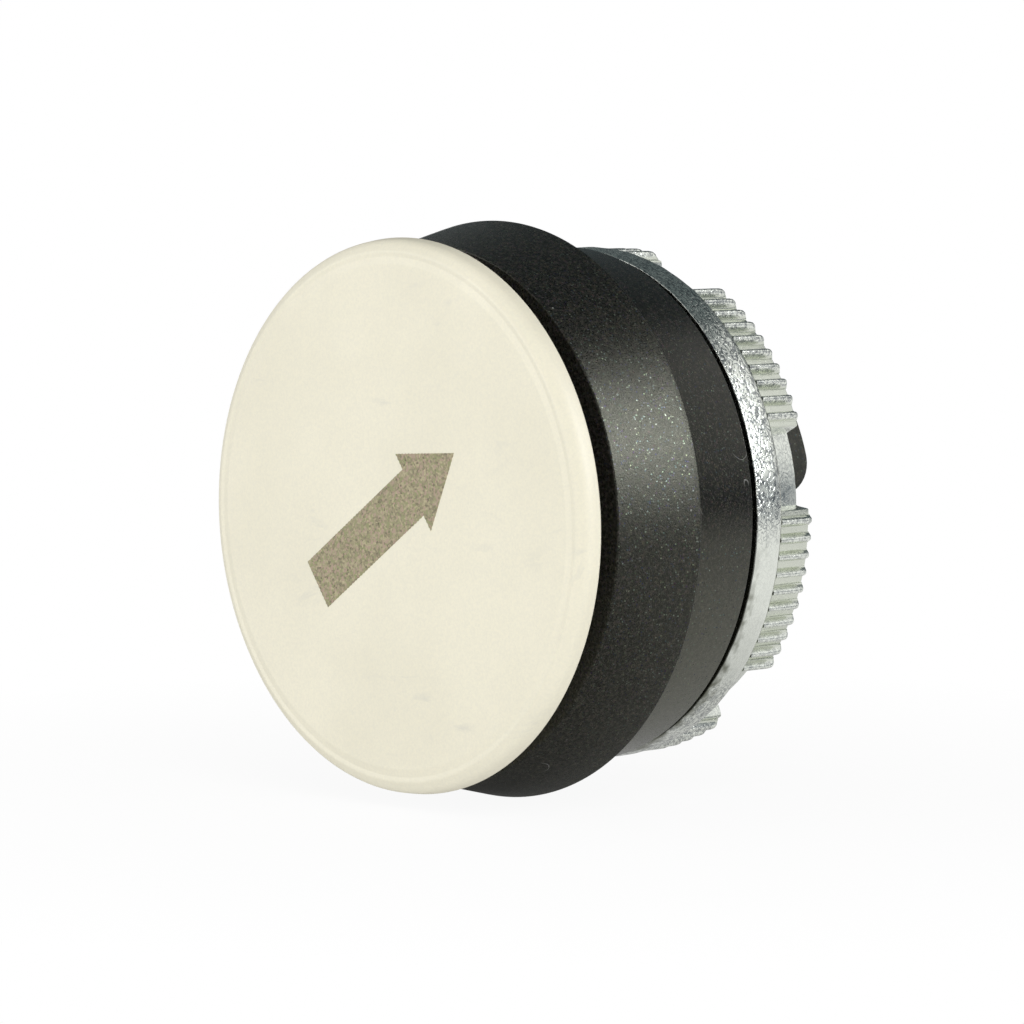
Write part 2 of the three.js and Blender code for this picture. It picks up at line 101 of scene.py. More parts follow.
# The studio. White paper behind and below, a tall narrow key on the right that only shows in the shine,
# a broad glow beside it that only lights, and a soft fill in front on the left. Dark flags shade what
# the metal and the black plastic reflect.
class Socket:
    """A node's output. Sums on it add Math nodes, and node() adds any other node to its tree."""

    def __init__(self, tree, source=None):
        self.tree = tree
        self.source = source

    def node(self, kind, settings=None, inputs=None, output=0):
        """A new node: its settings are made first, then its inputs are set or linked, by name or by number"""
        made = self.tree.nodes.new(kind)
        for name, value in (settings or {}).items():
            setattr(made, name, value)
        for name, value in (inputs or {}).items():
            if isinstance(value, Socket):
                self.tree.links.new(value.source, made.inputs[name])
            else:
                made.inputs[name].default_value = value
        return Socket(self.tree, made.outputs[output] if made.outputs else None)

    def also(self, output):
        """Another output of the same node"""
        return Socket(self.tree, self.source.node.outputs[output])

    def sum(self, operation, *terms):
        return self.node("ShaderNodeMath", {"operation": operation}, dict(enumerate(terms)))

    def __add__(self, other):
        return self.sum("ADD", self, other)

    def __mul__(self, other):
        return self.sum("MULTIPLY", self, other)

    def __sub__(self, other):
        return self.sum("SUBTRACT", self, other)

    def __rsub__(self, other):
        return self.sum("SUBTRACT", other, self)

    def __truediv__(self, other):
        return self.sum("DIVIDE", self, other)

    def __gt__(self, other):
        return self.sum("GREATER_THAN", self, other)

    def __lt__(self, other):
        return self.sum("LESS_THAN", self, other)

    def __abs__(self):
        return self.sum("ABSOLUTE", self)

    def span(self, low, high, first=0.0, last=1.0):
        """This value carried from the range low to high, and clamped there, to the range first to last"""
        return self.node("ShaderNodeMapRange", {}, {0: self, 1: low, 2: high, 3: first, 4: last})

    def mix(self, colour, other):
        """From one colour to another as this value goes from 0 to 1"""
        return self.node("ShaderNodeMix", {"data_type": "RGBA"}, {0: self, 6: colour, 7: other}, 2)


def tree_of(owner):
    """The emptied node tree of a material or a world"""
    owner.use_nodes = True
    tree = owner.node_tree
    tree.nodes.clear()
    return Socket(tree)


def seen_directly(start):
    """Two values: 1 for rays of the camera, and 1 for rays of a mirror or through glass"""
    rays = start.node("ShaderNodeLightPath")
    mirrored = rays.also("Is Glossy Ray") + rays.also("Is Transmission Ray")
    return rays.also("Is Camera Ray"), mirrored.sum("MINIMUM", mirrored, 1.0)


paper_white = (1.0, 1.0, 1.0, 1.0)
black = (0.0, 0.0, 0.0, 1.0)
room_grey = (0.24, 0.24, 0.24, 1.0)
backdrop_shine = 0.71

world = bpy.data.worlds.new("studio")
bpy.context.scene.world = world
start = tree_of(world)
direct, mirrored = seen_directly(start)
sky = start.node("ShaderNodeBackground", {}, {
    "Color": (direct + mirrored * backdrop_shine).mix(room_grey, paper_white)})
start.node("ShaderNodeOutputWorld", {}, {"Surface": sky})

# Seen directly the floor is white, a little darker near the head: painted shade where its glow is weaker,
# with the head's real shadow on the paper showing through there too. In mirrors it is dark in front of the
# head and bright behind it, and again darker near it: painted shade in place of the head's shadow on the
# floor.
floor_size = 4.0
floor_drop = 0.05 * MM
floor_grey = (0.85, 0.85, 0.85, 1.0)
near_glow = 0.92
shade_reach = (0.01, 0.06)
floor_glow_as_bounce = 0.85
floor_shine = (0.14, 0.79)
shine_starts = (-0.007, 0.002)
near_shine = 0.55
shine_reach = (0.012, 0.036)

floor_mesh = bpy.data.meshes.new("floor")
half, level = floor_size / 2, cad_box[0].z - floor_drop
floor_corners = [(-half, -half, level), (half, -half, level), (half, half, level), (-half, half, level)]
floor_mesh.from_pydata(floor_corners, [], [(0, 1, 2, 3)])
floor_paper = bpy.data.materials.new("floor_paper")
start = tree_of(floor_paper)
where = start.node("ShaderNodeTexCoord", {}, {}, "Object")
away = start.node("ShaderNodeVectorMath", {"operation": "LENGTH"}, {0: where}, "Value")
direct, mirrored = seen_directly(start)
bounced = start.node("ShaderNodeLightPath", {}, {}, "Is Diffuse Ray")
# For bounced rays the floor glows too: painted bounce light on the head from below, though the floor is no
# lamp.
glow = direct * away.span(*shade_reach, near_glow, 1.0) + mirrored + bounced * floor_glow_as_bounce
behind = start.node("ShaderNodeSeparateXYZ", {}, {"Vector": where}, 1)
# Painted shade in mirrors: the floor is darker in front of the head and near it.
shine = behind.span(*shine_starts, *floor_shine) * away.span(*shine_reach, near_shine, 1.0)
paper = start.node("ShaderNodeBsdfDiffuse", {}, {"Color": floor_grey})
lit = start.node("ShaderNodeEmission", {}, {"Color": (mirrored * (1.0 - shine)).mix(paper_white, black)})
start.node("ShaderNodeOutputMaterial", {}, {
    "Surface": start.node("ShaderNodeMixShader", {}, {0: glow, 1: paper, 2: lit})})
floor_mesh.materials.append(floor_paper)
floor = bpy.data.objects.new("floor", floor_mesh)
bpy.context.scene.collection.objects.link(floor)


def softbox(name, azimuth, elevation, distance, width, height, radiance, lights=True, shines=True):
    """A soft lamp of this size and brightness, which lights what it reaches, shows in its shine, or both"""
    data = bpy.data.lights.new(name, "AREA")
    data.shape = "RECTANGLE"
    data.size = width
    data.size_y = height
    data.energy = radiance * math.pi * width * height
    made = aimed(name, data, azimuth, elevation, distance)
    made.visible_camera = False
    made.visible_diffuse = lights
    made.visible_glossy = shines


softbox("key", azimuth=103, elevation=27, distance=0.45, width=0.12, height=0.26, radiance=16.5,
        lights=False)
softbox("glow", azimuth=65, elevation=30, distance=0.45, width=0.30, height=0.30, radiance=4.9, shines=False)
softbox("fill", azimuth=-42, elevation=11, distance=0.42, width=0.46, height=0.26, radiance=2.07)


def flag(name, shade, corners, faces):
    """A dark card that shows only in what the head reflects"""
    card = bpy.data.materials.new(name)
    start = tree_of(card)
    start.node("ShaderNodeOutputMaterial", {}, {
        "Surface": start.node("ShaderNodeEmission", {}, {"Color": shade})})
    mesh = bpy.data.meshes.new(name)
    mesh.from_pydata(corners, [], faces)
    mesh.materials.append(card)
    made = bpy.data.objects.new(name, mesh)
    bpy.context.scene.collection.objects.link(made)
    made.visible_camera = False
    made.visible_diffuse = False
    made.visible_shadow = False


def standing(name, shade, azimuths, elevations, distance):
    """A flag that bends round the head from one azimuth to another, between two elevations"""
    first, last = azimuths
    steps = 12
    corners = []
    for step in range(steps + 1):
        foot = towards(first + (last - first) * step / steps, 0) * distance
        corners += [foot + Vector((0, 0, distance * math.tan(math.radians(edge)))) for edge in elevations]
    flag(name, shade, corners, [(2 * k, 2 * k + 2, 2 * k + 3, 2 * k + 1) for k in range(steps)])


slate = (0.085, 0.105, 0.11, 1.0)
top_height = 0.6
top_radius = 0.55
top_azimuth = 250
top_shift = 0.05
top_middle = towards(top_azimuth, 0) * top_shift
top_rim = [top_middle + towards(azimuth, 0) * top_radius + Vector((0, 0, top_height))
           for azimuth in range(0, 360, 10)]
flag("top_flag", slate, top_rim, [tuple(range(len(top_rim)))])
standing("side_flag", (0.05, 0.055, 0.058, 1.0), azimuths=(60, 112), elevations=(-1, 47), distance=0.80)
standing("back_flag", slate, azimuths=(179, 240), elevations=(4, 50), distance=0.80)
standing("dim_flag", (0.34, 0.36, 0.37, 1.0), azimuths=(112, 135), elevations=(7, 38), distance=0.70)
standing("low_flag", (0.09, 0.11, 0.14, 1.0), azimuths=(112, 166), elevations=(-3.5, 7), distance=0.25)


# The push cap. An ivory moulding, satin on its face, with a shallow groove round its edge and a ring
# boss behind that snaps into the carrier. Its face has faint scuffs and specks from handling.
clearance = 0.3 * MM
merge_distance = 0.00001 * MM
ivory_light = (0.880, 0.838, 0.672, 1.0)
ivory_dark = (0.830, 0.790, 0.630, 1.0)
scuff_grey = (0.62, 0.61, 0.54, 1.0)
scuff_share = 0.5
mottle_grain = 0.16 * MM
mottle_share = 0.24
speck_brown = (0.18, 0.15, 0.10, 1.0)
facets = 256


def reach(node):
    """Radius, front station and rear station of a piece of the frame about the head's axis"""
    low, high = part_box(node)
    return high.x, low.y, high.y


def rounded(corners, steps=5):
    """A closed outline of (radius, station) with its corners rounded, where a corner gives a fillet too"""
    outline = []
    for place, corner in enumerate(corners):
        here = Vector(corner[:2])
        if len(corner) == 2:
            outline.append(here)
            continue
        back = (Vector(corners[place - 1][:2]) - here).normalized()
        on = (Vector(corners[(place + 1) % len(corners)][:2]) - here).normalized()
        opening = back.angle(on) / 2
        middle = here + (back + on).normalized() * corner[2] / math.sin(opening)
        first = here + back * corner[2] / math.tan(opening) - middle
        last = here + on * corner[2] / math.tan(opening) - middle
        for step in range(steps + 1):
            outline.append(middle + first.lerp(last, step / steps).normalized() * corner[2])
    return outline


def evenly(columns):
    return [math.tau * column / columns for column in range(columns)]


def turned(section, angles=evenly(facets)):
    """A piece turned about the head's axis: section is its closed outline, or gives one for each angle"""
    mesh = bmesh.new()
    rings = []
    for angle in angles:
        outline = section(angle) if callable(section) else section
        rings.append([mesh.verts.new((r * math.cos(angle), y, r * math.sin(angle))) for r, y in outline])
    for one, other in zip(rings, rings[1:] + rings[:1]):
        for k in range(len(one)):
            mesh.faces.new((one[k - 1], one[k], other[k], other[k - 1]))
    bmesh.ops.remove_doubles(mesh, verts=mesh.verts, dist=merge_distance)
    bmesh.ops.recalc_face_normals(mesh, faces=mesh.faces)
    return mesh


def piece(name, mesh, finish, body, slot, *nodes, sharp=30):
    """A finished mesh as a piece of the head, which rides on a body and stands for these nodes"""
    if isinstance(mesh, bmesh.types.BMesh):
        data = bpy.data.meshes.new(name)
        mesh.to_mesh(data)
        mesh.free()
    else:
        data = mesh
    data.shade_smooth()
    data.set_sharp_from_angle(angle=math.radians(sharp))
    data.materials.clear()
    data.materials.append(finish)
    made = bpy.data.objects.new(name, data)
    bpy.context.scene.collection.objects.link(made)
    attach(made, body)
    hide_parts(*nodes)
    return made


def surface(name):
    """A new material, its empty tree, and the place on the piece that its patterns follow"""
    made = bpy.data.materials.new(name)
    start = tree_of(made)
    return made, start, start.node("ShaderNodeTexCoord", {}, {}, "Object")


def noise(where, grain, detail=2.0, roughness=0.5, distortion=0.0, stretch=None):
    """Soft noise whose grains are this long, in metres, or longer along stretched axes"""
    if stretch:
        where = where.node("ShaderNodeMapping", {}, {"Vector": where, "Scale": stretch})
    return where.node("ShaderNodeTexNoise", {}, {
        "Vector": where, "Scale": 1 / grain, "Detail": detail, "Roughness": roughness,
        "Distortion": distortion})


def specks(where, spacing, size, share):
    """Round spots of this radius, at most one in each cell, in this share of the cells"""
    cells = where.node("ShaderNodeTexVoronoi", {}, {"Vector": where, "Scale": 1 / spacing})
    chance = where.node("ShaderNodeSeparateColor", {}, {"Color": cells.also("Color")})
    edge = size / spacing
    return cells.span(edge, edge * 0.6) * (chance < share)


def finish(start, colour, bump=None, depth=0.0, **constants):
    """The shader and the output of a material, with a relief of this depth from a height of 0 to 1"""
    inputs = {"Base Color": colour}
    inputs.update({name.replace("_", " "): value for name, value in constants.items()})
    if bump is not None:
        inputs["Normal"] = start.node("ShaderNodeBump", {}, {"Height": bump, "Distance": depth})
    shader = start.node("ShaderNodeBsdfPrincipled", {}, inputs)
    start.node("ShaderNodeOutputMaterial", {}, {"Surface": shader})


ivory, start, where = surface("ivory_moulding")
tone = noise(where, 9 * MM, 3.0).span(0.35, 0.65)
scuffs = noise(where, 1.6 * MM, 4.0, 0.6, 0.8, (0.35, 1.0, 1.0)).span(0.60, 0.74)
wear_and_floor_light = noise(where, 6 * MM, 2.0).span(0.50, 0.62)
mottle = noise(where, mottle_grain, 2.0, 0.7).span(0.3, 0.7)
marks = specks(where, 1.7 * MM, 0.05 * MM, 0.045)
colour = tone.mix(ivory_light, ivory_dark)
colour = (scuffs * wear_and_floor_light * scuff_share).mix(colour, scuff_grey)
colour = (mottle * mottle_share).mix(colour, scuff_grey)
colour = marks.mix(colour, speck_brown)
finish(start, colour, noise(where, 0.25 * MM, 3.0), 0.004 * MM,
       Roughness=noise(where, 2 * MM, 3.0).span(0.3, 0.7, 0.42, 0.52), IOR=1.5)

cap_radius, cap_front, boss_rear = reach("cap")
carrier_radius, carrier_front, hub_rear = reach("cap_carrier")
print_depth = 0.02 * MM
face = cap_front + print_depth
face_edge = cap_radius - 1.4 * MM
groove_radius = cap_radius - 1.0 * MM
groove_depth = 0.07 * MM
groove_round = 0.3 * MM
crest_radius = cap_radius - 0.72 * MM
crest_drop = 0.04 * MM
shoulder_inset = 0.12 * MM
shoulder_drop = 0.36 * MM
shoulder_round = 0.6 * MM
skirt_chamfer = 0.1 * MM
boss_radius = 7.0 * MM
boss_bore = 5.6 * MM
cap_shell = turned(rounded([
    (0, face), (face_edge, face, 0.9 * MM), (groove_radius, face + groove_depth, groove_round),
    (crest_radius, face + crest_drop, groove_round),
    (cap_radius - shoulder_inset, face + shoulder_drop, shoulder_round),
    (cap_radius, carrier_front - 0.12 * MM, 0.1 * MM), (cap_radius - skirt_chamfer, carrier_front),
    (boss_radius, carrier_front), (boss_radius, boss_rear, 0.2 * MM), (boss_bore, boss_rear, 0.2 * MM),
    (boss_bore, carrier_front), (0, carrier_front)]))
piece("cap_shell", cap_shell, ivory, "button", "ivory", "cap")


# The arrow. Matt ink with a sandy grain, printed on the cap's face too thinly to show a raised edge. It
# points up to the right.
arrow_length = 13.45 * MM
arrow_head = 3.93 * MM
arrow_width = 4.85 * MM
arrow_shaft = 2.9 * MM
arrow_turn = math.radians(35.2)
arrow_place = Vector((-0.46 * MM, -0.15 * MM))
ragged = 0.022 * MM
ink_step = 0.08 * MM
ink_sand = (0.355, 0.318, 0.214, 1.0)
ink_pale = (0.57, 0.505, 0.315, 1.0)
ink_dark = (0.085, 0.075, 0.045, 1.0)
ink_green = (0.29, 0.30, 0.15, 1.0)
ink_rose = (0.42, 0.31, 0.24, 1.0)
green_share = 0.22
rose_share = 0.20
ink_grain = 0.12 * MM

ink, start, where = surface("arrow_ink")
grains = where.node("ShaderNodeTexVoronoi", {}, {"Vector": where, "Scale": 1 / ink_grain})
shade = start.node("ShaderNodeSeparateColor", {}, {"Color": grains.also("Color")})
sand = noise(where, 0.10 * MM, 2.0, 0.7).span(0.3, 0.7)
colour = (shade * 0.6 + sand * 0.4).mix(ink_dark, ink_pale)
colour = (shade.also(1) < green_share).mix(colour, ink_green)
colour = (shade.also(2) > 1 - rose_share).mix(colour, ink_rose)
colour = noise(where, 0.5 * MM, 2.0).span(0.35, 0.65, 0.0, 0.3).mix(colour, ink_sand)
finish(start, colour, noise(where, ink_grain, 2.0), 0.008 * MM, Roughness=0.75)


def arrow_outline():
    """The arrow's outline across the face, its straight edges broken by the grain of the ink"""
    tail, neck, tip = -arrow_length / 2, arrow_length / 2 - arrow_head, arrow_length / 2
    shaft, barb = arrow_shaft / 2, arrow_width / 2
    corners = [(tail, -shaft), (neck, -shaft), (neck, -barb), (tip, 0), (neck, barb), (neck, shaft),
               (tail, shaft)]
    outline = []
    for place, corner in enumerate(corners):
        here, there = Vector(corner), Vector(corners[(place + 1) % len(corners)])
        count = int((there - here).length / ink_step)
        across = (there - here).orthogonal().normalized()
        for step in range(count):
            wave = math.sin(place * 7.1 + step * 1.9) + math.sin(place * 3.3 + step * 4.3)
            shift = across * wave * ragged / 2 if step else across * 0
            outline.append(here.lerp(there, step / count) + shift)
    cos, sin = math.cos(arrow_turn), math.sin(arrow_turn)
    return [(x * cos - z * sin + arrow_place.x, x * sin + z * cos + arrow_place.y) for x, z in outline]


arrow_mesh = bmesh.new()
outline = arrow_outline()
front = [arrow_mesh.verts.new((x, cap_front, z)) for x, z in outline]
rear = [arrow_mesh.verts.new((x, face + print_depth, z)) for x, z in outline]
for triangle in tessellate_polygon([[Vector((x, z, 0)) for x, z in outline]]):
    arrow_mesh.faces.new([front[k] for k in triangle])
    arrow_mesh.faces.new([rear[k] for k in reversed(triangle)])
for k in range(len(outline)):
    arrow_mesh.faces.new((front[k], front[k - 1], rear[k - 1], rear[k]))
bmesh.ops.recalc_face_normals(arrow_mesh, faces=arrow_mesh.faces)
piece("arrow_print", arrow_mesh, ink, "button", "legend", "arrow_legend")


# The carrier. A black nylon plate behind the cap, whose hub goes through the boot to the plunger and
# is drawn against it by the cap screw; only the dark of the gap round its edge shows.
cast_grain = 0.20 * MM
cast_share = 0.05
fine_grain = 0.08 * MM
flake_spacing = 0.14 * MM
flake_size = 0.052 * MM
flake_tint = 0.07
flake_dull = (0.04, 0.04, 0.04, 1.0)
flake_bright = (0.245, 0.23, 0.20, 1.0)
# Painted light from the floor below: the lighter grey of the black mouldings' lower side, and the heights
# over which it fades out.
floor_light_grey = (0.11, 0.11, 0.085, 1.0)
floor_light_reach = (-14 * MM, 1 * MM)
fibre_width = 0.0035
dust_grey = (0.26, 0.26, 0.25, 1.0)
warm_sheen = (0.97, 1.0, 0.84, 1.0)
nylon_dark = (0.006, 0.006, 0.006, 1.0)
nylon_pale = (0.026, 0.026, 0.026, 1.0)
rubber_dark = (0.0, 0.0, 0.0, 1.0)
rubber_pale = (0.018, 0.016, 0.010, 1.0)


def blend(start, share, colour, other):
    """A colour with a fixed share of another in it"""
    return start.node("ShaderNodeMix", {"data_type": "RGBA"}, {0: share, 6: colour, 7: other}, 2)


def black_moulding(name, dark, pale, roughness, relief, glints=0.3, wear_and_floor_light=0.2, index=1.5):
    """Black moulded nylon or rubber: faintly coloured grain, glinting flakes, dust and a few fibres

    Its lower side is painted lighter grey by the share given after glints: painted light from the floor
    below. Glints is the share of cells that hold a flake.
    """
    made, start, where = surface(name)
    cast = noise(where, cast_grain, 2.0, 0.6)
    grain = noise(where, fine_grain, 2.0, 0.7)
    tint = blend(start, cast_share, pale, cast.also("Color"))
    colour = (cast * 0.4 + grain * 0.6).span(0.46, 0.66).mix(dark, tint)
    height = start.node("ShaderNodeSeparateXYZ", {}, {"Vector": where}, 2)
    # Painted light: the lower side turns lighter grey, in place of light from the floor below.
    colour = (height.span(*floor_light_reach, wear_and_floor_light, 0.0) * (cast * 0.6 + 0.7)).mix(colour, floor_light_grey)
    cells = where.node("ShaderNodeTexVoronoi", {}, {"Vector": where, "Scale": 1 / flake_spacing})
    chance = start.node("ShaderNodeSeparateColor", {}, {"Color": cells.also("Color")}, 1)
    flakes = specks(where, flake_spacing, flake_size, glints)
    bright = (chance * chance * chance).mix(flake_dull, flake_bright)
    colour = flakes.mix(colour, blend(start, flake_tint, bright, cells.also("Color")))
    dust = specks(where, 0.5 * MM, 0.045 * MM, 0.05) * 0.4 + specks(where, 1.3 * MM, 0.07 * MM, 0.14)
    curl = noise(where, 2.4 * MM, 1.0)
    fibres = (abs(curl - 0.5) < fibre_width) * specks(where, 3.5 * MM, 1.1 * MM, 0.06)
    colour = (dust + fibres * 0.7).span(0.0, 1.0).mix(colour, dust_grey)
    finish(start, colour, grain, relief, Metallic=flakes, Roughness=grain.span(0.3, 0.7, *roughness),
           Specular_Tint=warm_sheen, IOR=index)
    return made


nylon = black_moulding("black_nylon", nylon_dark, nylon_pale, (0.42, 0.56), 0.010 * MM)

boot_radius, boot_front, bead_rear = reach("boot")
clamp_radius, clamp_front, _ = reach("clamp_washer")
clamp_width = 1.9 * MM
hub_radius = clamp_radius - clamp_width
_, screw_front, screw_rear = reach("cap_screw")
screw_shank = 1.35 * MM
screw_hole = screw_shank + clearance
hole_front = screw_front - clearance
recess_rear = boss_rear + clearance
soft_edge = 0.15 * MM
carrier_plate = turned(rounded([
    (0, carrier_front), (boss_bore - clearance, carrier_front), (boss_bore - clearance, recess_rear),
    (boss_radius + clearance, recess_rear), (boss_radius + clearance, carrier_front),
    (carrier_radius, carrier_front, soft_edge), (carrier_radius, boot_front, soft_edge),
    (hub_radius, boot_front), (hub_radius, hub_rear, soft_edge), (screw_hole, hub_rear),
    (screw_hole, hole_front), (0, hole_front)]))
piece("carrier_plate", carrier_plate, nylon, "button", "nylon", "cap_carrier")


# The boot. One black rubber moulding with a fine grain: a front flange under the carrier, a wall that
# flares towards the housing, a short straight land, and a lip that the guide clamps behind.
rubber = black_moulding("boot_rubber", rubber_dark, rubber_pale, (0.22, 0.40), 0.019 * MM, glints=0.5)

housing_radius, housing_front, housing_rear = reach("housing")
guide_rim, guide_front, guide_rear = reach("plunger_guide")
sleeve_flange, flange_front, sleeve_rear = reach("threaded_sleeve")
boot_wall = 1.2 * MM
boot_taper = 1.2 * MM
boot_land = 0.4 * MM
boot_draft = 0.09 * MM
bead_radius = sleeve_flange
bead_width = 0.8 * MM
bead_bore = bead_radius - bead_width
guide_rim_depth = 0.8 * MM
lip_front = guide_front + guide_rim_depth
hub_hole = hub_radius + clearance
front_radius = boot_radius - boot_taper
boot_skin = turned(rounded([
    (hub_hole, boot_front), (front_radius, boot_front, 0.12 * MM),
    (boot_radius - boot_draft, housing_front - boot_land), (boot_radius, housing_front, 0.06 * MM),
    (bead_radius, housing_front), (bead_radius, bead_rear, soft_edge), (bead_bore, bead_rear, soft_edge),
    (bead_bore, lip_front), (boot_radius - boot_wall, lip_front, 0.2 * MM),
    (front_radius - boot_wall, clamp_front, 0.4 * MM), (hub_hole, clamp_front)]))
boot = piece("boot_skin", boot_skin, rubber, "root", "boot_rubber", "boot")
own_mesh(boot)


# The housing. A black nylon collar, smoother than the boot, between it and the panel; its floor is
# pulled against the panel by the sleeve's flange, and its rear rim holds the gasket.
housing_bore = sleeve_flange + clearance
sleeve_hole = 11.3 * MM
gasket_radius, gasket_front, _ = reach("panel_gasket")
_, seal_front, floor_front = reach("flange_seal")
rim_bore = gasket_radius + clearance
collar_pale = (0.014, 0.012, 0.007, 1.0)
# Its lower side is painted much lighter grey: painted light from the floor below.
collar = black_moulding("collar_nylon", rubber_dark, collar_pale, (0.18, 0.28), 0.012 * MM, glints=0.22,
                        wear_and_floor_light=1.0, index=1.48)
housing_shell = turned(rounded([
    (housing_bore, housing_front), (housing_radius, housing_front, 0.18 * MM),
    (housing_radius, housing_rear, 0.1 * MM), (rim_bore, housing_rear), (rim_bore, gasket_front),
    (sleeve_hole, gasket_front), (sleeve_hole, floor_front), (housing_bore, floor_front)]))
piece("housing_collar", housing_shell, collar, "root", "nylon", "housing")


# The seals. Soft black rubber rings: flat ones under the sleeve's flange and on the panel's face, and
# one of round section in the guide's groove.
seal_rubber = black_moulding("seal_rubber", rubber_dark, rubber_pale, (0.5, 0.65), 0.010 * MM)


def flat_ring(node, bore, fillet):
    """A flat ring with lightly rounded edges, in the place of a node"""
    radius, front, rear = reach(node)
    return turned(rounded([(bore, front, fillet), (radius, front, fillet), (radius, rear, fillet),
                           (bore, rear, fillet)]))


for name, node, fillet in [("flange_seal_ring", "flange_seal", 0.12 * MM),
                           ("gasket_ring", "panel_gasket", soft_edge)]:
    piece(name, flat_ring(node, sleeve_hole, fillet), seal_rubber, "root", "seal_rubber", node)
o_ring_radius, o_ring_front, o_ring_rear = reach("guide_seal")
o_ring_wire = (o_ring_rear - o_ring_front) / 2
o_ring = turned([
    (o_ring_radius - o_ring_wire * (1 - math.cos(turn)), o_ring_front + o_ring_wire * (1 + math.sin(turn)))
    for turn in evenly(20)])
piece("guide_o_ring", o_ring, seal_rubber, "root", "seal_rubber", "guide_seal")


# The plunger. Natural white acetal: a disc that carries the boot and cap, and a stem that runs in the
# guide and works the contacts. The stem is counterbored from behind for the cap screw.
acetal_white = (0.70, 0.69, 0.64, 1.0)
acetal_dull = (0.64, 0.63, 0.585, 1.0)
acetal, start, where = surface("acetal")
colour = noise(where, 3 * MM, 3.0).span(0.35, 0.65).mix(acetal_white, acetal_dull)
finish(start, colour, noise(where, 0.3 * MM, 3.0), 0.004 * MM, Roughness=0.42, Subsurface_Weight=0.08,
       Subsurface_Scale=0.5 * MM)

disc_radius, plunger_front, stem_rear = reach("plunger")
clip_radius, clip_front, clip_rear = reach("stop_clip")
clip_stand = 1.2 * MM
stem_radius = clip_radius - clip_stand
disc_depth = 1.2 * MM
disc_rear = plunger_front + disc_depth
head_height = 1.8 * MM
head_seat = screw_rear - head_height
groove_play = 0.15 * MM
groove_front, groove_rear = clip_front - groove_play, clip_rear + groove_play
ring_groove = 0.9 * MM
groove_floor = stem_radius - ring_groove
counterbore = 3.1 * MM
plunger_body = turned(rounded([
    (screw_hole, plunger_front), (disc_radius, plunger_front, soft_edge), (disc_radius, disc_rear, soft_edge),
    (stem_radius, disc_rear, 0.3 * MM), (stem_radius, groove_front), (groove_floor, groove_front),
    (groove_floor, groove_rear), (stem_radius, groove_rear), (stem_radius, stem_rear, 0.35 * MM),
    (counterbore, stem_rear, 0.2 * MM), (counterbore, head_seat), (screw_hole, head_seat)]), evenly(128))
piece("plunger_body", plunger_body, acetal, "button", "acetal", "plunger")


# The steel pieces on the plunger: a socket-head screw down the stem, the washer that clamps the boot's
# flange, and the spring clip that stops the stem at rest. All are bright zinc-plated steel.
def plated(name, colour, dull, roughness):
    """Zinc-plated steel: faint clouds in the plating and fine handling marks"""
    made, start, where = surface(name)
    clouds = noise(where, 1.2 * MM, 4.0, 0.6).span(0.3, 0.7)
    marks = noise(where, 0.12 * MM, 3.0, 0.6, 0.0, (1.0, 0.2, 1.0))
    finish(start, clouds.mix(colour, dull), marks, 0.003 * MM, Metallic=1.0,
           Roughness=(clouds * 0.5 + marks * 0.5).span(0.3, 0.7, *roughness))
    return made


steel = plated("plated_steel", (0.63, 0.64, 0.65, 1.0), (0.46, 0.47, 0.47, 1.0), (0.22, 0.42))
screw_head, _, _ = reach("cap_screw")
hexagon = 1.3 * MM
socket_depth = 1.1 * MM
fine_edge = 0.08 * MM


def hex_radius(angle):
    """Distance from the axis to the wall of the hexagonal socket, along an angle"""
    sixth = math.tau / 6
    return hexagon * math.cos(sixth / 2) / math.cos(angle % sixth - sixth / 2)


def socket_head(angle):
    """The screw's section: its shank, its head and the socket"""
    return rounded([
        (0, screw_front), (screw_shank, screw_front, 0.2 * MM), (screw_shank, head_seat),
        (screw_head, head_seat), (screw_head, screw_rear, 0.25 * MM), (hex_radius(angle), screw_rear),
        (hex_radius(angle), screw_rear - socket_depth), (0, screw_rear - socket_depth)], 4)


piece("socket_screw", turned(socket_head, evenly(96)), steel, "button", "steel", "cap_screw")
piece("clamp_ring", flat_ring("clamp_washer", hub_hole, fine_edge), steel, "button", "steel", "clamp_washer")

clip_bore = groove_floor + clearance
clip_mouth = 2.5 * MM
clip_steps = 60


def clip_bands(height):
    """The clip's inner and outer edge at one height, as points from one side of its mouth to the other"""
    down = -math.pi / 2
    points = []
    for radius in (clip_bore, clip_radius):
        gap = math.asin(clip_mouth / radius)
        band = [down + gap + (math.tau - 2 * gap) * k / clip_steps for k in range(clip_steps + 1)]
        points.append([(radius * math.cos(a), height, radius * math.sin(a)) for a in band])
    return points


clip_mesh = bmesh.new()
(low_in, low_out), (high_in, high_out) = [
    [[clip_mesh.verts.new(p) for p in band] for band in clip_bands(height)]
    for height in (clip_front, clip_rear)]
for k in range(clip_steps):
    clip_mesh.faces.new((low_in[k], low_in[k + 1], low_out[k + 1], low_out[k]))
    clip_mesh.faces.new((high_in[k], high_in[k + 1], high_out[k + 1], high_out[k]))
    clip_mesh.faces.new((low_in[k], low_in[k + 1], high_in[k + 1], high_in[k]))
    clip_mesh.faces.new((low_out[k], low_out[k + 1], high_out[k + 1], high_out[k]))
for k in (0, clip_steps):
    clip_mesh.faces.new((low_in[k], low_out[k], high_out[k], high_in[k]))
bmesh.ops.recalc_face_normals(clip_mesh, faces=clip_mesh.faces)
bmesh.ops.bevel(clip_mesh, geom=[e for e in clip_mesh.edges if e.calc_face_angle() > 1], offset=fine_edge,
                segments=2, affect="EDGES")
piece("spring_clip", clip_mesh, steel, "button", "steel", "stop_clip")


